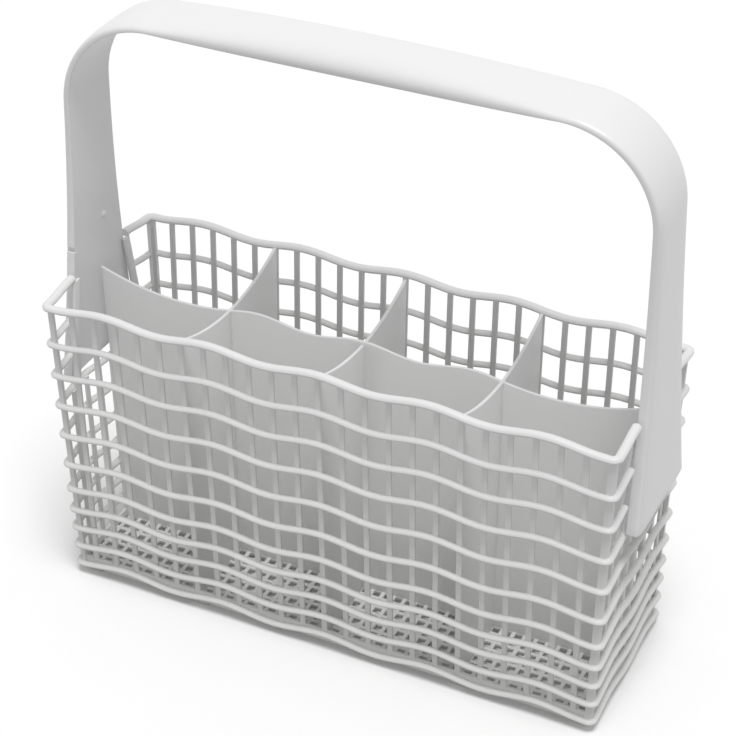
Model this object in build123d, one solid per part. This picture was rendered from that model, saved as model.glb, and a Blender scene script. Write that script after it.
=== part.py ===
"""Cutlery basket for a dishwasher.

The basket is one moulding: wavy ribs run round it in rings, upright slats join the rings from
inside, and thin plates part it into eight pockets. The arched handle is a second moulding,
whose flared legs sit in a slot in each end wall.
"""
import os
from math import atan2, cos, pi, radians, sin, sqrt

from build123d import *

# Outline over the ribs, at the rim
rim_length = 240.0
rim_width = 84.0
corner_radius = 3.5
wall_lean = 3.4  # how far each wall leans in from the rim down to the lowest rib

# Rows between the ribs, from the ground up
foot_height = 3.0
first_rib_height = 2.7  # lowest rib above the underside of the base
low_row_height = 9.35
low_rows = 3
first_step_row = 10.5
second_step_row = 12.6
tall_row_height = 14.6
tall_rows = 4
top_row_height = 17.0

# Ribs
rib_depth = 2.4  # from the rib's crest to the slats behind it
rib_height = 2.2
rim_rib_height = 3.0
wave_height = 1.2  # half of the rise from trough to crest
long_waves = 5
end_waves = 2
corner_flat = 2.0  # level stretch of a long rib beside each corner
corner_bends = 2  # bends of a rib round each corner
longest_straight = 17.0  # longest stretch of a rib without a bend

# Slats: the moulding has six to a pocket, and every second one is modelled
slat_width = 2.4
slat_thickness = 1.2
slats_per_pocket = 3
end_slats_per_side = 2
post_proud = 0.4  # how far a corner post stands out from the slats
corner_gap = 1.0  # from a long rib's last bend to where the corner starts at the base
least_slat_step = 4.8  # a slat nearer than this to the next upright is left out

# Base
floor_thickness = 2.0
base_band_height = 5.4  # solid band behind the lowest rib
floor_slots_per_pocket = 3
floor_bar = 5.0
foot_length = 7.0
foot_width = 4.0
foot_inset = 1.5

# Plates between the pockets
plate_thickness = 1.4
pocket_columns = 4
cross_plate_sag = 8.5  # middle of a cross plate below the rim
long_plate_drop = 8.5  # mean height of the long plate's top below the rim
long_plate_wave = 1.5
long_plate_horn = 5.0  # rise of the long plate at its two ends

# Handle
strap_half_width = 14.6
strap_edge = 2.2
strap_crown = 3.4
strap_hollow = 0.5
strap_lip = 0.3
leg_top_inner = 116.4  # inner face of a leg below the bend, from the middle of the basket
leg_foot_half_width = 25.2
leg_foot_edge = 4.4
leg_foot_crown = 5.4
bend_radius = 36.0
handle_rise = 111.2  # underside of the top bar above the rim's mean height
grip_half_width = 13.8
grip_drop = 1.3  # lower edges of the grip below the bar's ends
grip_crown = 9.6
grip_hollow = 7.4
grip_lip = 2.0
notch_rise = 12.5  # notch in a leg's edge above the rim's mean height
notch_height = 2.4
notch_depth = 1.0

# Flat facets along and across the handle
crown_facets = 10
hollow_facets = 4
bar_facets = 10
bend_facets = 8
leg_facets = 5

# Fit of the handle in the basket
leg_side_clearance = 0.4
leg_seat_clearance = 0.3
leg_back_clearance = 0.2
jamb_overlap = 2.0  # how far the slot's jambs reach behind the legs' edges

# Heights worked out from the rows
first_rib = foot_height + first_rib_height
row_heights = (
    [low_row_height] * low_rows
    + [first_step_row, second_step_row]
    + [tall_row_height] * tall_rows
    + [top_row_height]
)
levels = [first_rib]
for row in row_heights:
    levels.append(levels[-1] + row)
rim_level = levels[-1]
slot_ribs = 3  # the rim and the two ribs below it stop at the handle's legs
slot_sill = levels[-1 - slot_ribs]
lean_per_mm = wall_lean / (rim_level - first_rib)

# Pockets
slat_depth = rib_depth + slat_thickness
pocket_pitch = (rim_length - 2 * slat_depth) / pocket_columns
slat_pitch = pocket_pitch / slats_per_pocket
cross_plates = [
    pocket_pitch * (column - pocket_columns / 2) for column in range(1, pocket_columns)
]

# Waves
long_wave_length = (rim_length - 2 * corner_radius - 2 * corner_flat) / long_waves

# Handle's main points
bar_underside = rim_level + handle_rise
bend_axis_x = leg_top_inner - bend_radius
leg_top = bar_underside - bend_radius
leg_foot = slot_sill + wave_height + rib_height / 2 + leg_seat_clearance
leg_rim_inner = rim_length / 2 - rib_depth + leg_back_clearance
leg_lean = (leg_rim_inner - leg_top_inner) / (leg_top - rim_level)


def half_length(z):
    """Half the basket's length over the ribs' crests at a height."""
    return rim_length / 2 - lean_per_mm * (rim_level - z)


def half_width(z):
    """Half the basket's width over the ribs' crests at a height."""
    return rim_width / 2 - lean_per_mm * (rim_level - z)


def blend(start, end, share):
    """A value part of the way from start to end."""
    return start + (end - start) * share


def leg_half_width(z):
    """Half the width of a handle leg: a wide arc that starts upright below the bend."""
    drop = leg_top - leg_foot
    flare = leg_foot_half_width - strap_half_width
    radius = (drop**2 + flare**2) / (2 * flare)
    return strap_half_width + radius - sqrt(radius**2 - (leg_top - z) ** 2)


def long_wall(x, side):
    """A place along a long wall: gives the point at a depth behind the crests and a height."""
    return lambda depth, z: Vector(x, side * (half_width(z) - depth), z)


def end_wall(y, side):
    """A place along an end wall."""
    return lambda depth, z: Vector(side * (half_length(z) - depth), y, z)


def corner(x_side, y_side, turn):
    """A place round a corner, turned by some degrees from the long wall to the end wall."""
    across = sin(radians(turn))
    along = cos(radians(turn))

    def point(depth, z):
        reach = corner_radius - depth
        x = half_length(z) - corner_radius + reach * across
        y = half_width(z) - corner_radius + reach * along
        return Vector(x_side * x, y_side * y, z)

    return point


def slat_places(half_run, pitch):
    """Middles of the slats along one wall, evenly from its middle towards the corners."""
    steps = int((half_run - least_slat_step) / pitch)
    return [pitch * step for step in range(-steps, steps + 1)]


corner_turns = [90.0 * (bend + 0.5) / corner_bends for bend in range(corner_bends)]
corner_start = corner_radius + corner_gap
long_half_run = half_length(foot_height) - corner_start
end_half_run = half_width(foot_height) - corner_start
long_slats = slat_places(long_half_run, slat_pitch)
end_slats = slat_places(end_half_run, (rim_width / 2 - slat_depth) / end_slats_per_side)


def bends(slats):
    """Where a rib bends along a wall: on both sides of each slat, and halfway over wide gaps."""
    places = []
    for slat, following in zip(slats, slats[1:] + [slats[-1]]):
        places += [slat - slat_width / 2, slat + slat_width / 2]
        if following - slat > longest_straight:
            places.append((slat + following) / 2)
    return places


def long_wave(x):
    """Height of the wave along a long wall, as a share of wave_height: a crest in the middle."""
    return cos(2 * pi * x / long_wave_length)


def end_wave(y):
    """Height of the wave along an end wall: a trough in the middle."""
    period = (rim_width - 2 * corner_radius) / end_waves
    return -cos(2 * pi * y / period)


def facet(*points):
    """A flat face with these corners."""
    return Face(Wire.make_polygon(points, close=True))


def faceted(sections):
    """A solid of flat facets through sections that have equally many points."""
    faces = [facet(*sections[0]), facet(*sections[-1])]
    for near, far in zip(sections, sections[1:]):
        for index, point in enumerate(near):
            following = (index + 1) % len(near)
            faces.append(facet(point, near[following], far[following]))
            faces.append(facet(point, far[following], far[index]))
    return Solid(Shell(faces))


def half_ring(level, height, y_side, reach, sink):
    """Half of a wavy rib: from one end wall, along a long wall, to the other end wall."""
    end_places = [reach] + [y for y in bends(end_slats) if y > reach + slat_width]
    long_places = [-long_half_run] + bends(long_slats) + [long_half_run]
    stops = [(end_wall(y_side * y, -1), end_wave(y)) for y in end_places]
    stops += [(corner(-1, y_side, turn), -1.0) for turn in reversed(corner_turns)]
    stops += [(long_wall(x, y_side), long_wave(x)) for x in long_places]
    stops += [(corner(1, y_side, turn), -1.0) for turn in corner_turns]
    stops += [(end_wall(y_side * y, 1), end_wave(y)) for y in reversed(end_places)]
    sections = []
    for place, share in stops:
        z = level + wave_height * share
        back = rib_depth + sink
        sections.append([place(0, z), place(back, z + height / 2), place(back, z - height / 2)])
    return faceted(sections)


def ribs():
    """All the rings. Those above the sill stop beside the handle's legs."""
    rings = []
    for level in levels:
        height = rim_rib_height if level == rim_level else rib_height
        sink = slat_thickness / 2 if level == first_rib else 0.0
        reach = leg_half_width(level) + leg_side_clearance if level > slot_sill else 0.0
        rings += [half_ring(level, height, side, reach, sink) for side in (-1, 1)]
    return rings


def upright(wall, middle, side, top):
    """A slat behind the ribs of one wall, from the base band up to a height."""
    low, high = middle - slat_width / 2, middle + slat_width / 2
    front = [
        wall(low, side)(rib_depth, first_rib),
        wall(high, side)(rib_depth, first_rib),
        wall(high, side)(rib_depth, top),
        wall(low, side)(rib_depth, top),
    ]
    inward = wall(middle, side)(slat_depth, top) - wall(middle, side)(rib_depth, top)
    return extrude(Face(Wire.make_polygon(front, close=True)), amount=slat_thickness, dir=inward)


def slats():
    """Every slat of the four walls, from the base up to the rim or to the slot's sill."""
    made = []
    for side in (-1, 1):
        made += [upright(long_wall, x, side, rim_level) for x in long_slats]
        for y in end_slats:
            under_leg = abs(y) < leg_half_width(slot_sill) + least_slat_step
            made.append(upright(end_wall, y, side, slot_sill if under_leg else rim_level))
    return made


def corner_posts():
    """A post up each corner, as wide as a slat on both walls, which closes the corner."""
    depth = rib_depth - post_proud
    reach = rib_depth + slat_width
    made = []
    for x_side in (-1, 1):
        for y_side in (-1, 1):
            sections = []
            for z in (first_rib, rim_level):
                on_long = long_wall(x_side * (half_length(z) - reach), y_side)
                on_end = end_wall(y_side * (half_width(z) - reach), x_side)
                inner = Vector(on_end(slat_depth, z).X, on_long(slat_depth, z).Y, z)
                outer = [corner(x_side, y_side, turn)(depth, z) for turn in corner_turns]
                long_arm = [on_long(slat_depth, z), on_long(depth, z)]
                end_arm = [on_end(depth, z), on_end(slat_depth, z)]
                sections.append([inner] + long_arm + outer + end_arm)
            made.append(faceted(sections))
    return made


def jambs():
    """Bars down both sides of each leg's slot, which also back the leg's edges."""
    made = []
    for x_side in (-1, 1):
        for y_side in (-1, 1):
            outline = []
            for z, shift in (
                (slot_sill, -jamb_overlap),
                (slot_sill, slat_width),
                (rim_level, slat_width),
                (rim_level, -jamb_overlap),
            ):
                outline.append(end_wall(y_side * (leg_half_width(z) + shift), x_side)(rib_depth, z))
            face = Face(Wire.make_polygon(outline, close=True))
            made.append(extrude(face, amount=slat_thickness, dir=(-x_side, 0, 0)))
    return made


def base_outline(z):
    """Corners of the base's outer outline at a height, behind the ribs."""
    points = []
    for x_side, y_side in ((1, 1), (1, -1), (-1, -1), (-1, 1)):
        turns = corner_turns if x_side == y_side else reversed(corner_turns)
        points += [corner(x_side, y_side, turn)(rib_depth, z) for turn in turns]
    return points


def inner_outline(z):
    """Corners of the space inside the base at a height."""
    x, y = half_length(z) - slat_depth, half_width(z) - slat_depth
    return [Vector(x, y, z), Vector(x, -y, z), Vector(-x, -y, z), Vector(-x, y, z)]


def base():
    """The slotted floor and the solid band round it."""
    band_top = foot_height + base_band_height
    floor_top = foot_height + floor_thickness
    tray = faceted([base_outline(foot_height), base_outline(band_top)])
    tray -= faceted([inner_outline(floor_top), inner_outline(band_top)])
    pocket_depth = half_width(floor_top) - slat_depth
    slot_pitch = pocket_pitch / floor_slots_per_pocket
    across = pocket_columns * floor_slots_per_pocket
    slot = Box(slot_pitch - floor_bar, pocket_depth - 2 * floor_bar, 2 * floor_thickness)
    columns = [slot_pitch * (k - (across - 1) / 2) for k in range(across)]
    middle = foot_height + floor_thickness / 2
    rows = (-pocket_depth / 2, pocket_depth / 2)
    return tray - [Pos(x, y, middle) * slot for x in columns for y in rows]


def feet():
    """Small feet under the long edges: at the corners and below the outer cross plates."""
    y = half_width(foot_height) - rib_depth - foot_inset - foot_width / 2
    x = half_length(foot_height) - rib_depth - foot_inset - foot_length / 2
    height = foot_height + floor_thickness / 2
    foot = Box(foot_length, foot_width, height)
    places = [-x, cross_plates[0], cross_plates[-1], x]
    return [Pos(place, side * y, height / 2) * foot for place in places for side in (-1, 1)]


def cross_plate(x):
    """A plate across the basket, with a top that sags from wall to wall."""
    bottom = foot_height + floor_thickness / 2
    depth = rib_depth + slat_thickness / 2
    low_near, high_near = (long_wall(x, -1)(depth, z) for z in (bottom, rim_level))
    low_far, high_far = (long_wall(x, 1)(depth, z) for z in (bottom, rim_level))
    sagged = Vector(x, 0, rim_level - cross_plate_sag)
    outline = Wire([
        Edge.make_line(high_near, low_near),
        Edge.make_line(low_near, low_far),
        Edge.make_line(low_far, high_far),
        Edge.make_three_point_arc(high_far, sagged, high_near),
    ])
    return extrude(Face(outline), amount=plate_thickness / 2, dir=(1, 0, 0), both=True)


def long_plate_top(x):
    """Top of the plate along the middle: an even wave."""
    return Vector(x, 0, rim_level - long_plate_drop + long_plate_wave * long_wave(x))


def long_plate():
    """The plate along the middle, with a wavy top that rises to a horn beside each leg."""
    bottom = foot_height + floor_thickness / 2
    horn = rim_level - long_plate_drop + long_plate_horn
    depth = rib_depth + slat_thickness / 2
    horn_left, horn_right = (end_wall(0, side)(depth, horn) for side in (-1, 1))
    low_left, low_right = (end_wall(0, side)(depth, bottom) for side in (-1, 1))
    reach = (long_waves + 1) // 2
    crossings = [long_wave_length / 4 * (2 * step + 1) for step in range(-reach, reach)]
    waves = []
    for start, end in zip(crossings, crossings[1:]):
        points = [long_plate_top(x) for x in (start, (start + end) / 2, end)]
        waves.append(Edge.make_three_point_arc(*points))
    outline = Wire([
        Edge.make_line(horn_right, low_right),
        Edge.make_line(low_right, low_left),
        Edge.make_line(low_left, horn_left),
        Edge.make_tangent_arc(waves[0] @ 0, waves[0] % 0 * -1, horn_left),
        *waves,
        Edge.make_tangent_arc(waves[-1] @ 1, waves[-1] % 1, horn_right),
    ])
    return extrude(Face(outline), amount=plate_thickness / 2, dir=(0, 1, 0), both=True)


def basket():
    """The whole lattice basket as one solid."""
    uprights = slats() + corner_posts() + jambs() + feet()
    plates = [cross_plate(x) for x in cross_plates] + [long_plate()]
    return base().fuse(*uprights, *plates).fuse(*ribs()).clean()


def arc_points(half_span, base, rise, facets):
    """Points of an arc, as (across, outward): it rises from the base between two ends."""
    half_angle = 2 * atan2(rise, half_span)
    radius = half_span / sin(half_angle)
    angles = [blend(-half_angle, half_angle, step / facets) for step in range(facets + 1)]
    return [(radius * sin(angle), base + radius * (cos(angle) - cos(half_angle))) for angle in angles]


def strap_section(origin, outward, half_width_here, edge, crown, hollow, lip):
    """Crowned section of the handle: a rounded outer side, two edges and a hollow inner side."""
    outer = arc_points(half_width_here, edge, crown - edge, crown_facets)
    inner = arc_points(half_width_here - lip, 0, hollow, hollow_facets)
    return [origin + Vector(0, y, 0) + outward * out for y, out in outer + inner[::-1]]


def bar_section(place):
    """Section of the top bar: a flat strap at its ends (-1 and 1), a channel at the grip (0)."""
    grip = 1 - place**2
    return strap_section(
        Vector(bend_axis_x * place, 0, bar_underside - grip_drop * grip),
        Vector(0, 0, 1),
        blend(strap_half_width, grip_half_width, grip),
        blend(strap_edge, 0, grip),
        blend(strap_crown, grip_crown, grip),
        blend(strap_hollow, grip_hollow, grip),
        blend(strap_lip, grip_lip, grip),
    )


def bend_section(turn, side):
    """Section of a bend, turned by some degrees from the leg up to the bar."""
    outward = Vector(side * cos(radians(turn)), 0, sin(radians(turn)))
    centre = Vector(side * bend_axis_x, 0, leg_top)
    return strap_section(
        centre + outward * bend_radius,
        outward,
        strap_half_width,
        strap_edge,
        strap_crown,
        strap_hollow,
        strap_lip,
    )


def leg_section(share, side):
    """Section of a leg, part of the way from the bend to the foot: it widens and thickens."""
    z = blend(leg_top, leg_foot, share)
    return strap_section(
        Vector(side * (leg_rim_inner - leg_lean * (z - rim_level)), 0, z),
        Vector(side, 0, 0),
        leg_half_width(z),
        blend(strap_edge, leg_foot_edge, share),
        blend(strap_crown, leg_foot_crown, share),
        strap_hollow,
        strap_lip,
    )


def half_arch(side):
    """Sections of one leg and its bend, from the foot up to where the bar starts."""
    legs = [leg_section(1 - step / leg_facets, side) for step in range(leg_facets)]
    return legs + [bend_section(90 * step / bend_facets, side) for step in range(bend_facets)]


def notch(x_side, y_side):
    """A small notch in one edge of a leg, above the rim."""
    z = rim_level + notch_rise
    width = 2 * notch_depth
    reach = leg_half_width(z) - notch_depth + width / 2
    through = Box(2 * bend_radius, width, notch_height)
    return Pos(x_side * leg_rim_inner, y_side * reach, z) * through


def handle():
    """The arch: a leg, a bend, the bar, a bend and a leg, with a notch in one edge of each leg."""
    bar = [bar_section(blend(-1, 1, step / bar_facets)) for step in range(bar_facets + 1)]
    arch = faceted(half_arch(-1) + bar + half_arch(1)[::-1])
    return arch - [notch(-1, -1), notch(1, 1)]


os.makedirs("parts", exist_ok=True)
for name, make in (("basket", basket), ("handle", handle)):
    export_step(make(), f"parts/{name}.step")
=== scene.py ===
# %% [markdown]
# # A cutlery basket for a dishwasher
# The object is two plastic mouldings: a slim basket with wavy ribs round it, and an arched handle
# whose flared legs sit in a slot in each end wall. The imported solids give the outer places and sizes.
# This lesson grows the basket's lattice at its full pitch, shapes the handle smoothly, and gives both
# a moulded finish.

# %% Load the frame
from math import atan2, copysign, cos, pi, radians, sin, sqrt

import bmesh
import bpy
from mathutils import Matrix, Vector


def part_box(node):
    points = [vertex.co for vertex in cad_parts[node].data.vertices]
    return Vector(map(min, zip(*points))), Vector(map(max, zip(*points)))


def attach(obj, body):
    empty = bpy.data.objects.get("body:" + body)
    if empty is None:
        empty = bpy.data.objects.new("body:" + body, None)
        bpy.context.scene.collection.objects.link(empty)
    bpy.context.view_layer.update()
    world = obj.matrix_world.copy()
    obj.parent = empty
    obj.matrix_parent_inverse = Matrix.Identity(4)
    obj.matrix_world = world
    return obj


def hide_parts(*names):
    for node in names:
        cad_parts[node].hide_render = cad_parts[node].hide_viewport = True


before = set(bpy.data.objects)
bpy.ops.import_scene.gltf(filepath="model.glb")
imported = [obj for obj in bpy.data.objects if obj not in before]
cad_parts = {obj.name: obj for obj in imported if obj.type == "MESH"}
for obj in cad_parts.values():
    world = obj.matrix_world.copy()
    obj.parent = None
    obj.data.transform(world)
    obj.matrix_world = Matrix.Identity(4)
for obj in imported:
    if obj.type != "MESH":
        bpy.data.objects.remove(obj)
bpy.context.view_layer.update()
mm = 0.001
basket_low, basket_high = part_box("basket")
handle_low, handle_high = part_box("handle")
print("basket", tuple(round(v / mm, 1) for v in basket_high - basket_low), "mm")
print("handle", tuple(round(v / mm, 1) for v in handle_high - handle_low), "mm")

# %% [markdown]
# ## Small helpers for node trees
# A node tree is easier to read when each node is one line. These helpers add a node, feed its
# sockets with numbers or with other sockets, and chain sums, for geometry and for shaders alike.


# %% Node helpers
def feed(tree, value, socket):
    """Links a socket into another one, or sets it to a plain value."""
    if isinstance(value, bpy.types.NodeSocket):
        tree.links.new(value, socket)
    else:
        socket.default_value = value


def add(tree, kind, sockets=None, **settings):
    """Adds a node with its settings, and feeds its sockets by name or place."""
    made = tree.nodes.new(kind)
    for name, value in settings.items():
        setattr(made, name, value)
    for key, value in (sockets or {}).items():
        feed(tree, value, made.inputs[key])
    return made


def calc(tree, operation, *values):
    """One sum of a node tree, such as MULTIPLY or COSINE."""
    return add(tree, "ShaderNodeMath", dict(enumerate(values)), operation=operation).outputs[0]


def vector(tree, x, y, z):
    """Three numbers or sockets as one vector socket."""
    return add(tree, "ShaderNodeCombineXYZ", {"X": x, "Y": y, "Z": z}).outputs[0]


# %% [markdown]
# ## Growing plain meshes from a geometry tree
# Each tree has named inputs for its sizes. The last step of every tree is the same: the copies are
# made real, because an exported model has no instances, and the plastic is set. The modifier that
# runs the tree is only borrowed: its result is read off as a plain mesh, and it is taken away again.


# %% Objects and plain meshes
def show(name, data):
    """Puts a mesh, a lamp or a camera into the scene as an object at the origin."""
    made = bpy.data.objects.new(name, data)
    bpy.context.scene.collection.objects.link(made)
    return made


def settle(piece):
    """Turns the piece's modifiers into its plain mesh."""
    evaluated = piece.evaluated_get(bpy.context.evaluated_depsgraph_get())
    mesh = bpy.data.meshes.new_from_object(evaluated)
    piece.modifiers.clear()
    piece.data = mesh


# %% Start, end and run a tree
def new_tree(name, sizes):
    """A geometry tree with named size inputs and a material: gives the tree and its inputs."""
    tree = bpy.data.node_groups.new(name, "GeometryNodeTree")
    for size, kind in sizes.items():
        tree.interface.new_socket(size, in_out="INPUT", socket_type=f"NodeSocket{kind}")
    tree.interface.new_socket("Plastic", in_out="INPUT", socket_type="NodeSocketMaterial")
    tree.interface.new_socket("Geometry", in_out="OUTPUT", socket_type="NodeSocketGeometry")
    return tree, tree.nodes.new("NodeGroupInput").outputs


def close_tree(tree, geometry, plastic):
    """Makes the copies real, sets the plastic and ends the tree."""
    real = add(tree, "GeometryNodeRealizeInstances", {"Geometry": geometry})
    set_plastic = add(tree, "GeometryNodeSetMaterial", {"Geometry": real.outputs[0], "Material": plastic})
    add(tree, "NodeGroupOutput", {"Geometry": set_plastic.outputs[0]})


def grow(name, tree, plastic, **sizes):
    """Runs a tree with its sizes, and returns the result as an object with a plain mesh."""
    carrier = show(name, bpy.data.meshes.new(name))
    modifier = carrier.modifiers.new("grow", "NODES")
    modifier.node_group = tree
    named = {item.name: item.identifier for item in tree.interface.items_tree if item.in_out == "INPUT"}
    modifier[named["Plastic"]] = plastic
    for size, value in sizes.items():
        modifier[named[size.replace("_", " ").capitalize()]] = value
    settle(carrier)
    return carrier


# %% Steps that the trees share
def rectangle(tree, width, height):
    """A flat rectangle round the origin, as a curve."""
    return add(tree, "GeometryNodeCurvePrimitiveQuadrilateral", {"Width": width, "Height": height}).outputs[0]


def rounded(tree, curve, radius, count):
    """A curve with its corners rounded off."""
    sockets = {"Curve": curve, "Radius": radius, "Count": count}
    return add(tree, "GeometryNodeFilletCurve", sockets, mode="POLY").outputs[0]


def swept(tree, curve, section):
    """A section carried along a curve, with closed ends."""
    sockets = {"Curve": curve, "Profile Curve": section, "Fill Caps": True}
    return add(tree, "GeometryNodeCurveToMesh", sockets).outputs[0]


def lifted(tree, geometry, rise, **more):
    """Geometry whose points are lifted by a height, all of them or a selection."""
    sockets = {"Geometry": geometry, "Offset": vector(tree, 0.0, 0.0, rise), **more}
    return add(tree, "GeometryNodeSetPosition", sockets).outputs[0]


def own_place(tree):
    """The X, Y and Z of each point, as three sockets."""
    position = add(tree, "GeometryNodeInputPosition").outputs[0]
    return add(tree, "ShaderNodeSeparateXYZ", {"Vector": position}).outputs


# %% [markdown]
# ## The plastic
# Both mouldings are white polypropylene: a satin skin with a very fine mould grain, a faint
# unevenness in the white, and a thin film from hard water in patches that dulls the shine. The same
# film colour also serves as painted shade: more of it is mixed in the lower down a point is, so the
# white is painted darker and slightly yellower towards the bottom. One shared group works out these
# effects from the object's own coordinates. Each material uses it with its own values, so that the
# handle, which is handled and wiped, is smoother.

# %% A shared group for the moulded surface
cloud_scale, cloud_detail = 22.0, 4.0
speck_scale, speck_detail = 260.0, 2.0
grain_scale, grain_detail = 1500.0, 1.0
film_everywhere, film_roughness, noise_middle = 0.25, 0.3, 0.5


def moulded_surface():
    """Colour, roughness and height of a moulded plastic skin, with painted shade towards the bottom."""
    group = bpy.data.node_groups.new("moulded_surface", "ShaderNodeTree")
    for name, kind in (
        ("White", "Color"), ("Film", "Color"), ("Film amount", "Float"), ("Low shade height", "Float"),
        ("Unevenness", "Float"), ("Roughness", "Float"),
    ):
        group.interface.new_socket(name, in_out="INPUT", socket_type=f"NodeSocket{kind}")
    for name, kind in (("Color", "Color"), ("Roughness", "Float"), ("Height", "Float")):
        group.interface.new_socket(name, in_out="OUTPUT", socket_type=f"NodeSocket{kind}")
    given = group.nodes.new("NodeGroupInput").outputs
    place = add(group, "ShaderNodeTexCoord").outputs["Object"]
    cloud, speck, grain = [
        add(group, "ShaderNodeTexNoise", {"Vector": place, "Scale": scale, "Detail": detail}).outputs[0]
        for scale, detail in (
            (cloud_scale, cloud_detail), (speck_scale, speck_detail), (grain_scale, grain_detail),
        )
    ]
    height = add(group, "ShaderNodeSeparateXYZ", {"Vector": place}).outputs["Z"]
    # Painted shade: the share of film colour grows towards the bottom, which paints the white darker and
    # slightly yellower low down.
    painted_low_shade = calc(group, "SUBTRACT", 1.0, calc(group, "DIVIDE", height, given["Low shade height"]))
    painted_low_shade = calc(group, "MAXIMUM", painted_low_shade, 0.0)
    spread = calc(group, "ADD", painted_low_shade, film_everywhere)
    patchy = calc(group, "MULTIPLY", spread, calc(group, "ADD", cloud, speck))
    film_and_shade = calc(group, "MULTIPLY", patchy, given["Film amount"])
    # A mix node has its colours in sockets 6 and 7, behind those for numbers and vectors, and in output 2.
    filmed = add(group, "ShaderNodeMix", {0: film_and_shade, 6: given["White"], 7: given["Film"]}, data_type="RGBA")
    swing = calc(group, "MULTIPLY", calc(group, "SUBTRACT", cloud, noise_middle), given["Unevenness"])
    value = calc(group, "ADD", swing, 1.0)
    shade = add(group, "ShaderNodeHueSaturation", {"Color": filmed.outputs[2], "Value": value})
    rough = calc(group, "ADD", given["Roughness"], calc(group, "MULTIPLY", film_and_shade, film_roughness))
    add(group, "NodeGroupOutput", {"Color": shade.outputs[0], "Roughness": rough, "Height": grain})
    return group


# %% The two plastics
surface_group = moulded_surface()
grain_strength, plastic_ior = 0.25, 1.49


def plastic(name, white, film_and_shade, film_and_shade_amount, unevenness, roughness, grain_depth):
    """A moulded plastic: the shared skin on a Principled shader."""
    material = bpy.data.materials.new(name)
    material.use_nodes = True
    tree = material.node_tree
    shader = tree.nodes["Principled BSDF"]
    surface = add(tree, "ShaderNodeGroup", node_tree=surface_group)
    for socket, value in (
        # The film colour is mixed in as real patches and, more strongly low down, as painted shade; the
        # basket's height is where that painted shade fades out.
        ("White", (*white, 1.0)), ("Film", (*film_and_shade, 1.0)), ("Film amount", film_and_shade_amount),
        ("Low shade height", basket_high.z), ("Unevenness", unevenness), ("Roughness", roughness),
    ):
        feed(tree, value, surface.inputs[socket])
    bump = add(tree, "ShaderNodeBump", {
        "Strength": grain_strength, "Distance": grain_depth, "Height": surface.outputs["Height"],
    })
    feed(tree, surface.outputs["Color"], shader.inputs["Base Color"])
    feed(tree, surface.outputs["Roughness"], shader.inputs["Roughness"])
    feed(tree, bump.outputs[0], shader.inputs["Normal"])
    shader.inputs["IOR"].default_value = plastic_ior
    return material


# Each plastic's film colour and amount give both its film patches and its painted shade towards the bottom.
basket_plastic = plastic(
    "basket_plastic", white=(0.80, 0.80, 0.80), film_and_shade=(0.70, 0.70, 0.67), film_and_shade_amount=0.35,
    unevenness=0.04, roughness=0.42, grain_depth=0.05 * mm,
)
handle_plastic = plastic(
    "handle_plastic", white=(0.84, 0.84, 0.85), film_and_shade=(0.76, 0.76, 0.75), film_and_shade_amount=0.12,
    unevenness=0.02, roughness=0.32, grain_depth=0.03 * mm,
)
print("plastics:", basket_plastic.name, handle_plastic.name)

# %% [markdown]
# ## The heights of the rows
# Eleven ribs run round the basket. The rows between them are low at the base, where the weight is,
# and get taller towards the rim. The rim's top comes from the frame, so that the lattice sits
# exactly where the solid does.

# %% Levels of the ribs
rib_depth, rib_height, rim_rib_height = 2.4 * mm, 2.5 * mm, 3.0 * mm
wave_height = 1.2 * mm
low_row, low_rows = 9.35 * mm, 3
step_rows = [10.5 * mm, 12.6 * mm]
tall_row, tall_rows = 14.6 * mm, 4
top_row = 17.0 * mm
rows = [low_row] * low_rows + step_rows + [tall_row] * tall_rows + [top_row]
rim_level = basket_high.z - wave_height - rim_rib_height / 2
levels = [rim_level - sum(rows[index:]) for index in range(len(rows) + 1)]
wall_lean = 3.4 * mm
lean = wall_lean / (rim_level - levels[0])
rim_half_length = basket_high.x - lean * wave_height
rim_half_width = basket_high.y - lean * wave_height
print("ribs at", [round(level / mm, 1) for level in levels], "mm")


def inset(z, depth=0.0):
    """How far a wall stands in from the rim's outline, at a height and a depth behind the ribs."""
    return lean * (rim_level - z) + depth


# %% [markdown]
# ## The wavy ribs
# Each rib is a bead that follows the basket's rounded outline and rises and falls in even waves.
# It could be drawn as a curve by hand, once for each height. A tree is better: it rounds off a
# rectangle, lifts its points by a cosine of their own place, and sweeps a bead along it. The long
# walls are cut into more pieces than the ends, so that the points stand 3 to 4 mm apart on both.
# Where the handle's legs stand, the three upper ribs are cut open.

# %% Inputs and section of a ring
bead_sides, strip_softness, soft_steps = 12, 0.25 * mm, 2
ring_tree, ring = new_tree("ring", {
    "Half length": "Float", "Half width": "Float", "Level": "Float", "Radius": "Float", "Wave": "Float",
    "Long period": "Float", "End period": "Float", "Long trough": "Float", "End trough": "Float",
    "Bead depth": "Float", "Bead height": "Float", "Square": "Bool", "Opening": "Float",
})


def ring_profile():
    """The bead's section: an ellipse, or a strip with softened edges where Square is set."""
    circle = add(ring_tree, "GeometryNodeCurvePrimitiveCircle", {"Resolution": bead_sides, "Radius": 0.5})
    stretch = vector(ring_tree, ring["Bead depth"], ring["Bead height"], 1.0)
    oval = add(ring_tree, "GeometryNodeTransform", {"Geometry": circle.outputs[0], "Scale": stretch})
    strip = rectangle(ring_tree, ring["Bead depth"], ring["Bead height"])
    soft = rounded(ring_tree, strip, strip_softness, soft_steps)
    choice = {"Switch": ring["Square"], "False": oval.outputs[0], "True": soft}
    return add(ring_tree, "GeometryNodeSwitch", choice, input_type="GEOMETRY").outputs[0]


# %% Tree of a ring round the basket
long_cuts, end_cuts, corner_points, weld_distance = 63, 27, 5, 0.02 * mm


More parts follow.
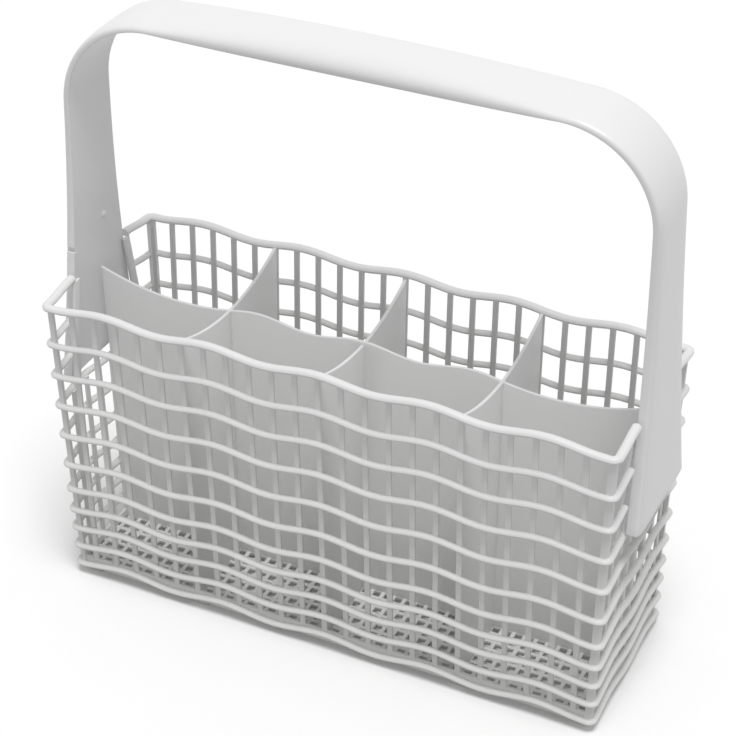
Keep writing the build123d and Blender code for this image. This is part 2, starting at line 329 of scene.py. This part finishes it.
def wave_share(along, trough, period, sign):
    """A cosine of the distance from the middle, held at its lowest past the last trough."""
    distance = calc(ring_tree, "MINIMUM", calc(ring_tree, "ABSOLUTE", along), trough)
    angle = calc(ring_tree, "DIVIDE", calc(ring_tree, "MULTIPLY", distance, 2 * pi), period)
    return calc(ring_tree, "MULTIPLY", calc(ring_tree, "COSINE", angle), sign)


outline = rectangle(
    ring_tree,
    calc(ring_tree, "MULTIPLY", ring["Half length"], 2.0),
    calc(ring_tree, "MULTIPLY", ring["Half width"], 2.0),
)
# The rectangle's corners take turns: even ones start a long wall, and odd ones an end wall.
side_parity = calc(ring_tree, "MODULO", add(ring_tree, "GeometryNodeInputIndex").outputs[0], 2.0)
cuts = calc(ring_tree, "MULTIPLY_ADD", side_parity, float(end_cuts - long_cuts), float(long_cuts))
divided = add(ring_tree, "GeometryNodeSubdivideCurve", {"Curve": outline, "Cuts": cuts})
bent = rounded(ring_tree, divided.outputs[0], ring["Radius"], corner_points)
place = own_place(ring_tree)
share = calc(
    ring_tree, "MAXIMUM",
    wave_share(place["X"], ring["Long trough"], ring["Long period"], 1.0),
    wave_share(place["Y"], ring["End trough"], ring["End period"], -1.0),
)
rise = calc(ring_tree, "ADD", ring["Level"], calc(ring_tree, "MULTIPLY", share, ring["Wave"]))
wires = add(ring_tree, "GeometryNodeCurveToMesh", {"Curve": lifted(ring_tree, bent, rise)})
single = add(ring_tree, "GeometryNodeMergeByDistance",
             {"Geometry": wires.outputs[0], "Distance": weld_distance})
at_end = calc(ring_tree, "GREATER_THAN", calc(ring_tree, "ABSOLUTE", place["X"]), rim_half_length / 2)
in_slot = calc(ring_tree, "LESS_THAN", calc(ring_tree, "ABSOLUTE", place["Y"]), ring["Opening"])
opened = add(ring_tree, "GeometryNodeDeleteGeometry",
             {"Geometry": single.outputs[0], "Selection": calc(ring_tree, "MULTIPLY", at_end, in_slot)})
path = add(ring_tree, "GeometryNodeMeshToCurve", {"Mesh": opened.outputs[0]})
level_normals = add(ring_tree, "GeometryNodeSetCurveNormal", {"Curve": path.outputs[0]}, mode="Z_UP")
close_tree(ring_tree, swept(ring_tree, level_normals.outputs[0], ring_profile()), ring["Plastic"])
print("ring tree:", len(ring_tree.nodes), "nodes")

# %% [markdown]
# ## The handle's legs, seen from the end
# The ribs have to know how wide a leg is, to stop beside it. A leg is narrow below the bend and
# flares out in one wide arc, widest at its foot just above the fourth rib.

# %% Width of a leg
strap_half_width, leg_foot_half_width = 14.6 * mm, handle_high.y
bend_radius, hand_gap = 36.0 * mm, 111.2 * mm
bar_underside = rim_level + hand_gap
leg_foot, leg_top = handle_low.z, bar_underside - bend_radius


def leg_half_width(z):
    """Half the width of a leg: a wide arc that starts upright below the bend."""
    flare = leg_foot_half_width - strap_half_width
    radius = ((leg_top - leg_foot) ** 2 + flare**2) / (2 * flare)
    return strap_half_width + radius - sqrt(radius**2 - (leg_top - z) ** 2)


leg_widths = [round(2 * leg_half_width(z) / mm, 1) for z in (leg_top, leg_foot)]
print("a leg widens from", leg_widths[0], "to", leg_widths[1], "mm")

# %% Grow the ribs and the base band
corner_radius, corner_flat, least_bend = 3.5 * mm, 2.0 * mm, 0.3 * mm
long_trough = rim_half_length - corner_radius - corner_flat
end_trough = rim_half_width - corner_radius
long_waves, end_waves = 5, 2
long_period, end_period = 2 * long_trough / long_waves, 2 * end_trough / end_waves
slat_thickness, rib_sink, rim_sink = 1.2 * mm, 0.6 * mm, 0.2 * mm
slot_ribs, leg_gap = 3, 0.4 * mm
foot_height, base_band_height = 3.0 * mm, 5.4 * mm
basket_parts = []


def grow_ring(name, level, depth, height, wave=0.0, square=False, opening=0.0, back=0.0):
    """One ring: its middle line lies half a bead behind the outline at that height, or further back."""
    behind = inset(level, back + depth / 2)
    return grow(
        name, ring_tree, basket_plastic,
        half_length=rim_half_length - behind, half_width=rim_half_width - behind, level=level,
        radius=max(corner_radius - back - depth / 2, depth / 2 + least_bend), wave=wave,
        long_period=long_period, end_period=end_period, long_trough=long_trough, end_trough=end_trough,
        bead_depth=depth, bead_height=height, square=square, opening=opening,
    )


for index, level in enumerate(levels):
    is_rim = level == rim_level
    depth = rib_depth + slat_thickness + rim_sink if is_rim else rib_depth + rib_sink
    height = rim_rib_height if is_rim else rib_height
    opening = leg_half_width(level) + leg_gap if index >= len(levels) - slot_ribs else 0.0
    basket_parts.append(grow_ring(f"rib_{index}", level, depth, height, wave=wave_height, opening=opening))
band_middle = foot_height + base_band_height / 2
basket_parts.append(
    grow_ring("base_band", band_middle, slat_thickness, base_band_height, square=True, back=rib_depth)
)
print("rings:", len(basket_parts), "with", sum(len(part.data.polygons) for part in basket_parts), "faces")

# %% [markdown]
# ## Slats and floor bars
# Upright slats join the ribs from inside, six to a pocket. The floor is a fine grid of bars. Both are
# one softened bar, copied along a line, so one tree makes them all: it sweeps a small rounded
# rectangle from a foot to a head, and sets a copy at each step. The heads then rise and fall with the
# rib that they end in, so that none pokes out of it.

# %% Tree of a row of bars
bar_tree, bar = new_tree("bars", {
    "Foot": "Vector", "Head": "Vector", "First": "Vector", "Step": "Vector", "Count": "Int",
    "Width": "Float", "Thickness": "Float", "Turn": "Float", "Softness": "Float",
    "Wave": "Float", "Period": "Float",
})
section = rounded(bar_tree, rectangle(bar_tree, bar["Width"], bar["Thickness"]), bar["Softness"], soft_steps)
spine = add(bar_tree, "GeometryNodeCurvePrimitiveLine", {"Start": bar["Foot"], "End": bar["Head"]})
one_bar = swept(bar_tree, spine.outputs[0], section)
places = add(bar_tree, "GeometryNodeMeshLine",
             {"Count": bar["Count"], "Start Location": bar["First"], "Offset": bar["Step"]})
copies = add(bar_tree, "GeometryNodeInstanceOnPoints", {"Points": places.outputs[0], "Instance": one_bar})
real_bars = add(bar_tree, "GeometryNodeRealizeInstances", {"Geometry": copies.outputs[0]})
spot = own_place(bar_tree)
foot_z = add(bar_tree, "ShaderNodeSeparateXYZ", {"Vector": bar["Foot"]}).outputs["Z"]
is_head = calc(bar_tree, "GREATER_THAN", spot["Z"], calc(bar_tree, "ADD", foot_z, bar["Width"]))
phase = calc(bar_tree, "DIVIDE", calc(bar_tree, "MULTIPLY", spot["X"], 2 * pi), bar["Period"])
head_rise = calc(bar_tree, "MULTIPLY", calc(bar_tree, "COSINE", phase), bar["Wave"])
waved = lifted(bar_tree, real_bars.outputs[0], head_rise, Selection=is_head)
turned = add(bar_tree, "GeometryNodeTransform",
             {"Geometry": waved, "Rotation": vector(bar_tree, 0.0, 0.0, bar["Turn"])})
close_tree(bar_tree, turned.outputs[0], bar["Plastic"])
print("bar tree:", len(bar_tree.nodes), "nodes")

# %% Grow the slats
slat_width, slat_softness = 2.4 * mm, 0.35 * mm
slat_depth, slat_middle = rib_depth + slat_thickness, rib_depth + slat_thickness / 2
pocket_columns, slats_per_pocket, end_steps = 4, 6, 4
pocket_pitch = 2 * (rim_half_length - slat_depth) / pocket_columns
slat_pitch = pocket_pitch / slats_per_pocket
end_pitch = (rim_half_width - slat_depth) / end_steps
slot_sill = levels[-1 - slot_ribs]


def slat_row(name, half_size, turn, pitch, reach, top, wave, period):
    """Slats along one wall, evenly out to a number of steps, from the lowest rib up to another."""
    foot, head = [(0.0, -(half_size - inset(z, slat_middle)), z) for z in (levels[0], top)]
    return grow(
        name, bar_tree, basket_plastic, foot=foot, head=head,
        first=(-reach * pitch, 0.0, 0.0), step=(pitch, 0.0, 0.0), count=2 * reach + 1,
        width=slat_width, thickness=slat_thickness, turn=turn, softness=slat_softness,
        wave=wave, period=period,
    )


long_reach = pocket_columns * slats_per_pocket // 2 - 1
for name, turn in (("front", 0.0), ("back", pi)):
    basket_parts.append(slat_row(
        f"{name}_slats", rim_half_width, turn, slat_pitch, long_reach, rim_level, wave_height, long_period
    ))
for name, turn in (("left", -pi / 2), ("right", pi / 2)):
    basket_parts.append(slat_row(
        f"{name}_slats", rim_half_length, turn, end_pitch, end_steps - 1, slot_sill, -wave_height, end_period
    ))
print("slat pitch", round(slat_pitch / mm, 2), "mm; parts so far", len(basket_parts))

# %% Grow the floor's grid
floor_thickness, floor_bar_width, floor_softness = 2.0 * mm, 1.7 * mm, 0.2 * mm
floor_middle = foot_height + floor_thickness / 2
floor_half_length = rim_half_length - inset(floor_middle, slat_middle)
floor_half_width = rim_half_width - inset(floor_middle, slat_middle)
floor_bars_per_slat = 2
floor_pitch = slat_pitch / floor_bars_per_slat


def floor_bars(name, half_span, half_reach, turn):
    """Bars across the floor: copies along one direction, each reaching across the other."""
    steps = int(half_span / floor_pitch)
    return grow(
        name, bar_tree, basket_plastic,
        foot=(0.0, -half_reach, floor_middle), head=(0.0, half_reach, floor_middle),
        first=(-steps * floor_pitch, 0.0, 0.0), step=(floor_pitch, 0.0, 0.0), count=2 * steps + 1,
        width=floor_bar_width, thickness=floor_thickness, turn=turn, softness=floor_softness,
        wave=0.0, period=long_period,
    )


basket_parts.append(floor_bars("floor_cross_bars", floor_half_length, floor_half_width, 0.0))
basket_parts.append(floor_bars("floor_long_bars", floor_half_width, floor_half_length, pi / 2))
print("floor holes about", round((floor_pitch - floor_bar_width) / mm, 2), "mm wide")

# %% [markdown]
# ## The plates between the pockets
# Three cross plates and a long one part the basket into eight pockets. Each is a flat piece with one
# outline. A short mesh function is the plainest way: it takes the outline, gives it a thickness and
# softens the edges, as the mould does. The tops are not straight: the cross plates sag between the
# walls, and the long plate waves with the ribs and ends in a horn at each leg.

# %% Flat pieces from an outline
edge_segments, round_profile = 2, 0.5


def solid_piece(name, shape, material):
    """Turns a finished shape into an object of one plastic."""
    mesh = bpy.data.meshes.new(name)
    shape.to_mesh(mesh)
    shape.free()
    mesh.materials.append(material)
    return show(name, mesh)


def slab(name, outline, thickness, softness, material=basket_plastic):
    """A closed flat piece: an outline, thickened along a vector, with softened outline edges."""
    shape = bmesh.new()
    near = [shape.verts.new(Vector(point) - Vector(thickness) / 2) for point in outline]
    far = [shape.verts.new(Vector(point) + Vector(thickness) / 2) for point in outline]
    shape.faces.new(near)
    shape.faces.new(far[::-1])
    for index in range(len(outline)):
        following = (index + 1) % len(outline)
        shape.faces.new((near[following], near[index], far[index], far[following]))
    bmesh.ops.recalc_face_normals(shape, faces=shape.faces)
    rims = [edge for edge in shape.edges if (edge.verts[0] in near) == (edge.verts[1] in near)]
    bmesh.ops.bevel(
        shape, geom=rims, offset=softness, segments=edge_segments, profile=round_profile, affect="EDGES"
    )
    return solid_piece(name, shape, material)


# %% The plates
plate_thickness, plate_softness = 1.4 * mm, 0.35 * mm
cross_plate_sag, long_plate_drop = 8.5 * mm, 8.5 * mm
long_plate_wave, long_plate_horn = 1.5 * mm, 5.0 * mm
sag_steps, long_plate_steps = 24, 120
# The wave stops near the outer cross plates, where it passes its mean height on the way down.
wave_end = long_period * 5 / 4
plate_end = rim_half_length - inset(rim_level - long_plate_drop + long_plate_horn, slat_middle)


def sagging_top(half):
    """Points of a shallow arc between two walls, as (across, height)."""
    radius = (half**2 + cross_plate_sag**2) / (2 * cross_plate_sag)
    across = [half * (2 * step / sag_steps - 1) for step in range(sag_steps + 1)]
    return [(y, rim_level - cross_plate_sag + radius - sqrt(radius**2 - y**2)) for y in across]


def long_plate_height(x):
    """Top of the long plate: a wave, then one arc that dips and rises to a horn at the leg."""
    mean = rim_level - long_plate_drop
    if abs(x) <= wave_end:
        return mean + long_plate_wave * cos(2 * pi * x / long_period)
    share = (abs(x) - wave_end) / (plate_end - wave_end)
    slope = -long_plate_wave * 2 * pi / long_period * (plate_end - wave_end)
    return mean + slope * share + (long_plate_horn - slope) * share**2


top_half_width = rim_half_width - inset(rim_level, slat_middle)
for column in range(1, pocket_columns):
    x = pocket_pitch * (column - pocket_columns / 2)
    outline = [(x, -floor_half_width, floor_middle), (x, floor_half_width, floor_middle)]
    outline += [(x, y, z) for y, z in reversed(sagging_top(top_half_width))]
    basket_parts.append(slab(f"cross_plate_{column}", outline, (plate_thickness, 0, 0), plate_softness))
places_along = [plate_end * (2 * step / long_plate_steps - 1) for step in range(long_plate_steps + 1)]
outline = [(-floor_half_length, 0, floor_middle), (floor_half_length, 0, floor_middle)]
outline += [(x, 0, long_plate_height(x)) for x in reversed(places_along)]
basket_parts.append(slab("long_plate", outline, (0, plate_thickness, 0), plate_softness))
lowest_top = rim_level - cross_plate_sag
print("plates:", pocket_columns - 1, "across and 1 along, lowest top", round(lowest_top / mm, 1), "mm up")

# %% [markdown]
# ## Corner posts
# A post closes each corner between the last slats of two walls, from the lowest rib up into the rim.
# Its outside follows the rounded corner and leans in with the walls, so it is skinned between two
# sections, one at each end. The same function makes the handle later, from many sections.


# %% Closed pieces through sections
def skin(name, sections, material):
    """A closed mesh through sections that have equally many points."""
    shape = bmesh.new()
    loops = [[shape.verts.new(point) for point in points] for points in sections]
    for near, far in zip(loops, loops[1:]):
        for index in range(len(near)):
            following = (index + 1) % len(near)
            shape.faces.new((near[index], near[following], far[following], far[index]))
    shape.faces.new(loops[0])
    shape.faces.new(loops[-1][::-1])
    bmesh.ops.recalc_face_normals(shape, faces=shape.faces)
    return solid_piece(name, shape, material)


# %% The corner posts
post_proud, post_top, post_bends = 0.4 * mm, rim_level - wave_height, 5
corners = [(x_side, y_side) for x_side in (-1, 1) for y_side in (-1, 1)]


def corner_post(x_side, y_side):
    """A post that closes a corner between two walls, about as wide as a slat on both."""
    depth, reach = rib_depth - post_proud, rib_depth + slat_width
    radius = corner_radius - depth
    sections = []
    for z in (levels[0], post_top):
        x, y = rim_half_length - inset(z), rim_half_width - inset(z)
        outline = [(x - slat_depth, y - slat_depth), (x - reach, y - slat_depth), (x - reach, y - depth)]
        for step in range(post_bends + 1):
            turn = pi / 2 * step / post_bends
            outline.append((x - corner_radius + radius * sin(turn), y - corner_radius + radius * cos(turn)))
        outline += [(x - depth, y - reach), (x - slat_depth, y - reach)]
        sections.append([(x_side * across, y_side * along, z) for across, along in outline])
    return skin(f"post_{x_side}_{y_side}", sections, basket_plastic)


for x_side, y_side in corners:
    basket_parts.append(corner_post(x_side, y_side))
print("posts:", len(corners), "up to", round(post_top / mm, 1), "mm")

# %% [markdown]
# ## Slot jambs and feet
# Each slot for the handle has a jamb down either side, which follows the leg's flare from the rim to
# the sill and reaches a little behind the leg. Small feet lift the floor off the ground. Both are
# slabs, like the plates.

# %% The slot's jambs and the feet
jamb_overlap = 2.0 * mm
for x_side, y_side in corners:
    outline = []
    for z, shift in ((slot_sill, -jamb_overlap), (slot_sill, slat_width),
                     (rim_level, slat_width), (rim_level, -jamb_overlap)):
        x = rim_half_length - inset(z, slat_middle)
        outline.append((x_side * x, y_side * (leg_half_width(z) + shift), z))
    basket_parts.append(slab(f"jamb_{x_side}_{y_side}", outline, (slat_thickness, 0, 0), plate_softness))
foot_length, foot_width, foot_inset, foot_softness = 7.0 * mm, 4.0 * mm, 1.5 * mm, 0.6 * mm
foot_y = rim_half_width - inset(foot_height, rib_depth + foot_inset + foot_width / 2)
foot_x = rim_half_length - inset(foot_height, rib_depth + foot_inset + foot_length / 2)
for x in (-foot_x, -pocket_pitch, pocket_pitch, foot_x):
    left, right = x - foot_length / 2, x + foot_length / 2
    for y in (-foot_y, foot_y):
        outline = [(left, y, 0), (right, y, 0), (right, y, floor_middle), (left, y, floor_middle)]
        basket_parts.append(slab(f"foot_{x:.3f}_{y:.3f}", outline, (0, foot_width, 0), foot_softness))
print("parts of the basket:", len(basket_parts))

# %% [markdown]
# ## One moulding
# On the real basket all of this is one piece of plastic, so the parts are united into one closed
# skin. Beads and slats sink a little into each other on purpose: faces that only touch would leave
# the union unsure which side is inside.


# %% Unite the parts
def unite(name, parts, operation="UNION"):
    """Joins closed parts into one object with a single skin, or cuts the others out of the first."""
    whole, others = parts[0], parts[1:]
    pool = bpy.data.collections.new(f"{name}_parts")
    for part in others:
        pool.objects.link(part)
    combine = whole.modifiers.new("unite", "BOOLEAN")
    combine.operation = operation
    combine.solver = "MANIFOLD"
    combine.operand_type = "COLLECTION"
    combine.collection = pool
    settle(whole)
    whole.name = name
    for part in others:
        bpy.data.objects.remove(part)
    bpy.data.collections.remove(pool)
    return whole


def smooth_by_angle(piece, angle):
    """Rounded stretches shade smoothly, and edges sharper than the angle stay crisp."""
    piece.data.shade_smooth()
    piece.data.set_sharp_from_angle(angle=angle)


basket_crisp_angle = radians(35)
basket = unite("basket_moulding", basket_parts)
smooth_by_angle(basket, basket_crisp_angle)
print("basket:", len(basket.data.polygons), "faces,", len(basket.data.vertices), "points")

# %% [markdown]
# ## The handle
# The handle is one arch with a crowned outer side and a hollow inner side: a flat strap round the
# bends, a deep channel at the grip, and legs that widen and thicken towards their feet. Its shape
# follows a rule along its length, so each station is worked out from a few sizes and the stations
# are skinned. The outer side is an ellipse at the grip, where its edges curl under, and gets squarer
# down to the feet, where it is almost flat with rounded edges. A bevel then softens the long edges.

# %% Sizes of the handle
strap_crown, strap_hollow, strap_lip = 3.4 * mm, 0.5 * mm, 0.3 * mm
grip_half_width, grip_drop = 13.8 * mm, 1.3 * mm
grip_crown, grip_hollow, grip_lip = 9.6 * mm, 7.4 * mm, 2.0 * mm
grip_curl, leg_foot_crown = radians(18), 5.4 * mm
grip_squareness, strap_squareness = 2.0, 3.0
leg_top_squareness, leg_foot_squareness = 6.0, 9.0
leg_top_inner, wall_gap = 116.4 * mm, 0.2 * mm
leg_rim_inner = rim_half_length - rib_depth + wall_gap
leg_lean = (leg_rim_inner - leg_top_inner) / (leg_top - rim_level)
bend_axis_x = leg_top_inner - bend_radius
print("bar between the bends:", round(2 * bend_axis_x / mm, 1), "mm")

# %% A section of the handle
crown_steps, hollow_steps = 32, 16


def mix(start, end, share):
    """A value part of the way from start to end."""
    return start + (end - start) * share


def hollow_points(half_span, rise):
    """Points of an arc that rises between two ends, as (across, outward)."""
    half_angle = 2 * atan2(rise, half_span)
    radius = half_span / sin(half_angle)
    angles = [mix(-half_angle, half_angle, step / hollow_steps) for step in range(hollow_steps + 1)]
    return [(radius * sin(angle), radius * (cos(angle) - cos(half_angle))) for angle in angles]


def bulge(share, squareness):
    """A sine or cosine pushed out towards a squarer curve, with its sign kept."""
    return copysign(abs(share) ** (2 / squareness), share)


def crown_points(half_width, crown, squareness, curl):
    """Points over a crowned back whose edges roll down and curl under, as (across, outward)."""
    under = bulge(sin(curl), squareness)
    points = []
    for step in range(crown_steps + 1):
        turn = mix(pi + curl, -curl, step / crown_steps)
        rise = (bulge(sin(turn), squareness) + under) / (1 + under)
        points.append((half_width * bulge(cos(turn), squareness), crown * rise))
    return points


def station(origin, outward, half_width, squareness, curl, crown, hollow, lip):
    """One closed section of the handle, round an origin on its inner side."""
    outer = crown_points(half_width, crown, squareness, curl)
    inner = hollow_points(half_width - lip, hollow)
    return [origin + Vector((0, y, 0)) + outward * out for y, out in outer + inner[::-1]]


# %% Stations along the arch
leg_steps, bend_steps, bar_steps = 30, 20, 48


def leg_station(share, side):
    """A leg's section, part of the way from the bend to the foot."""
    z = mix(leg_top, leg_foot, share)
    origin = Vector((side * (leg_rim_inner - leg_lean * (z - rim_level)), 0, z))
    return station(
        origin, Vector((side, 0, 0)), leg_half_width(z),
        squareness=mix(leg_top_squareness, leg_foot_squareness, share), curl=0.0,
        crown=mix(strap_crown, leg_foot_crown, share), hollow=strap_hollow, lip=strap_lip,
    )


def bend_station(turn, side):
    """A bend's section, turned up from the leg towards the bar."""
    outward = Vector((side * cos(turn), 0, sin(turn)))
    origin = Vector((side * bend_axis_x, 0, leg_top)) + outward * bend_radius
    return station(
        origin, outward, strap_half_width,
        squareness=mix(leg_top_squareness, strap_squareness, turn / (pi / 2)), curl=0.0,
        crown=strap_crown, hollow=strap_hollow, lip=strap_lip,
    )


def bar_station(place):
    """The bar's section: a strap at its ends (-1 and 1), a channel at the grip (0)."""
    grip = 1 - place**2
    origin = Vector((bend_axis_x * place, 0, bar_underside - grip_drop * grip))
    return station(
        origin, Vector((0, 0, 1)), mix(strap_half_width, grip_half_width, grip),
        squareness=mix(strap_squareness, grip_squareness, grip), curl=grip_curl * grip,
        crown=mix(strap_crown, grip_crown, grip), hollow=mix(strap_hollow, grip_hollow, grip),
        lip=mix(strap_lip, grip_lip, grip),
    )


def half_arch(side):
    """Stations of one leg and its bend, from the foot up to where the bar starts."""
    leg = [leg_station(1 - step / leg_steps, side) for step in range(leg_steps)]
    return leg + [bend_station(pi / 2 * step / bend_steps, side) for step in range(bend_steps)]


arch = half_arch(-1) + [bar_station(mix(-1, 1, step / bar_steps)) for step in range(bar_steps + 1)]
arch += half_arch(1)[::-1]
print("stations along the handle:", len(arch), "with", len(arch[0]), "points each")

# %% Skin the arch
edge_softness, edge_steps, edge_angle = 0.6 * mm, 3, radians(40)
handle = skin("handle_moulding", arch, handle_plastic)
soften = handle.modifiers.new("soften", "BEVEL")
soften.width = edge_softness
soften.segments = edge_steps
soften.limit_method = "ANGLE"
soften.angle_limit = edge_angle
settle(handle)
print("arch:", len(handle.data.polygons), "faces")

# %% [markdown]
# ## Notches and a pip
# One edge of each leg has a small notch above the rim, and the left leg carries a low round pip on its
# inner face. The arch is already closed, so plain shapes are the simplest way: a slab is cut out for
# each notch, and a domed pip is joined on, rooted in the leg.

# %% Cut the notches and join the pip
notch_rise, notch_height, notch_depth, notch_softness = 12.5 * mm, 2.4 * mm, 1.5 * mm, 0.2 * mm
cutter_reach, cutter_thickness = 3 * notch_depth, 36.0 * mm
pip_y, pip_z = 5.6 * mm, 149.6 * mm
pip_radius, pip_height, pip_root = 1.6 * mm, 1.0 * mm, 0.8 * mm
pip_turns, pip_sides = (0, 20, 40, 60, 75), 20


def notch_cutter(x_side, y_side):
    """What a notch takes out of one edge of a leg, a little above the rim."""
    z = rim_level + notch_rise
    near = leg_half_width(z) - notch_depth
    far = near + cutter_reach
    outline = [
        (x_side * leg_rim_inner, y_side * y, z + end * notch_height / 2)
        for y, end in ((near, -1), (far, -1), (far, 1), (near, 1))
    ]
    return slab(f"notch_{x_side}", outline, (cutter_thickness, 0, 0), notch_softness, handle_plastic)


def pip():
    """A low round pip on the left leg's inner face, rooted in the leg."""
    face = leg_rim_inner - leg_lean * (pip_z - rim_level)
    face += strap_hollow * (1 - (pip_y / leg_half_width(pip_z)) ** 2)
    rings = [(pip_root, pip_radius)]
    for turn in pip_turns:
        rings.append((-pip_height * sin(radians(turn)), pip_radius * cos(radians(turn))))
    around = [2 * pi * step / pip_sides for step in range(pip_sides)]
    sections = [
        [(-face - out, pip_y + radius * cos(turn), pip_z + radius * sin(turn)) for turn in around]
        for out, radius in rings
    ]
    return skin("pip", sections, handle_plastic)


handle_crisp_angle = radians(50)
handle = unite("handle_moulding", [handle, notch_cutter(-1, -1), notch_cutter(1, 1)], "DIFFERENCE")
handle = unite("handle_moulding", [handle, pip()])
smooth_by_angle(handle, handle_crisp_angle)
print("handle:", len(handle.data.polygons), "faces")

# %% [markdown]
# ## Seat the pieces in the frame
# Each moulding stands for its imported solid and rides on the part's only body. Nothing moves: the
# handle is snapped into the basket.

# %% Ride and replace
for piece, node, slot in ((basket, "basket", "basket_plastic"), (handle, "handle", "handle_plastic")):
    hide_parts(node)
    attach(piece, "root")
    print(piece.name, "stands for", node)

# %% [markdown]
# ## Studio
# The photograph shows the basket from above its right front corner, under soft light from overhead.
# Tops are brightest, upright faces are about half as bright, and each rib shades the slats below it.
# So one wide, even light comes from above, a little from the right and the front, and the sky only
# fills in. The floor looks white to the camera, but throws less light back up than it shows, or the
# shading under the ribs would be lost.


# %% Floor
def shown_to_camera(tree, plain, shown):
    """One shader for the camera and for mirror and glass rays, and a plain one for other light."""
    rays = add(tree, "ShaderNodeLightPath").outputs
    seen = calc(tree, "MAXIMUM", rays["Is Camera Ray"], rays["Is Glossy Ray"])
    seen = calc(tree, "MAXIMUM", seen, rays["Is Transmission Ray"])
    return add(tree, "ShaderNodeMixShader", {0: seen, 1: plain, 2: shown}).outputs[0]


floor_size, floor_roughness, floor_shine = 12.0, 0.9, 0.1
bounce_grey, shown_grey, shown_glow = 0.42, 0.92, 0.05
bpy.ops.mesh.primitive_plane_add(size=floor_size, location=(0, 0, 0))
floor = bpy.context.object
floor.name = "studio_floor"
floor_paint = bpy.data.materials.new("studio_floor_paint")
floor_paint.use_nodes = True
tree = floor_paint.node_tree
bounce = tree.nodes["Principled BSDF"]
shown = add(tree, "ShaderNodeBsdfPrincipled")
for paint, grey in ((bounce, bounce_grey), (shown, shown_grey)):
    paint.inputs["Base Color"].default_value = (grey, grey, grey, 1.0)
    paint.inputs["Roughness"].default_value = floor_roughness
    paint.inputs["Specular IOR Level"].default_value = floor_shine
glow = add(tree, "ShaderNodeEmission", {"Strength": shown_glow})
pale = add(tree, "ShaderNodeAddShader", {0: shown.outputs[0], 1: glow.outputs[0]})
floor_look = shown_to_camera(tree, bounce.outputs[0], pale.outputs[0])
feed(tree, floor_look, tree.nodes["Material Output"].inputs["Surface"])
floor.data.materials.append(floor_paint)
print("floor:", floor_size, "m wide")

# %% World and lamp
white, sky_strength, backdrop_strength = (1.0, 1.0, 1.0, 1.0), 0.5, 1.0
world = bpy.data.worlds.new("studio")
bpy.context.scene.world = world
world.use_nodes = True
tree = world.node_tree
sky = tree.nodes["Background"]
sky.inputs["Color"].default_value = white
sky.inputs["Strength"].default_value = sky_strength
backdrop = add(tree, "ShaderNodeBackground", {"Color": white, "Strength": backdrop_strength})
sky_look = shown_to_camera(tree, sky.outputs[0], backdrop.outputs[0])
feed(tree, sky_look, tree.nodes["World Output"].inputs["Surface"])

toward_lamp = Vector((0.5, -0.58, 3.2))
lamp_softness, lamp_strength = radians(24), 1.8
lamp = show("overhead_lamp", bpy.data.lights.new("overhead_lamp", "SUN"))
lamp.data.angle = lamp_softness
lamp.data.energy = lamp_strength
lamp.location = toward_lamp
lamp.rotation_euler = toward_lamp.to_track_quat("Z", "Y").to_euler()
print("sky", sky_strength, "and lamp", lamp_strength)

# %% [markdown]
# ## Camera
# The camera stands where the photograph's camera stood. Its place, its direction and its lens were
# worked out from the corners, ribs and plates that can be traced there.

# %% Camera
camera_azimuth, camera_elevation = radians(25.697), radians(33.391)
camera_place = Vector((309.7, -639.2, 581.0)) * mm
sensor_width, focal_pixels, frame_pixels = 36.0, 2194.5, 736
camera = show("camera", bpy.data.cameras.new("camera"))
camera.data.sensor_width = sensor_width
camera.data.lens = sensor_width * focal_pixels / frame_pixels
camera.location = camera_place
level_share = cos(camera_elevation)
away = Vector((sin(camera_azimuth) * level_share, -cos(camera_azimuth) * level_share, sin(camera_elevation)))
camera.rotation_euler = (-away).to_track_quat("-Z", "Y").to_euler()
bpy.context.scene.camera = camera
bpy.context.scene.view_settings.view_transform = "Standard"
print("lens", round(camera.data.lens, 1), "mm")
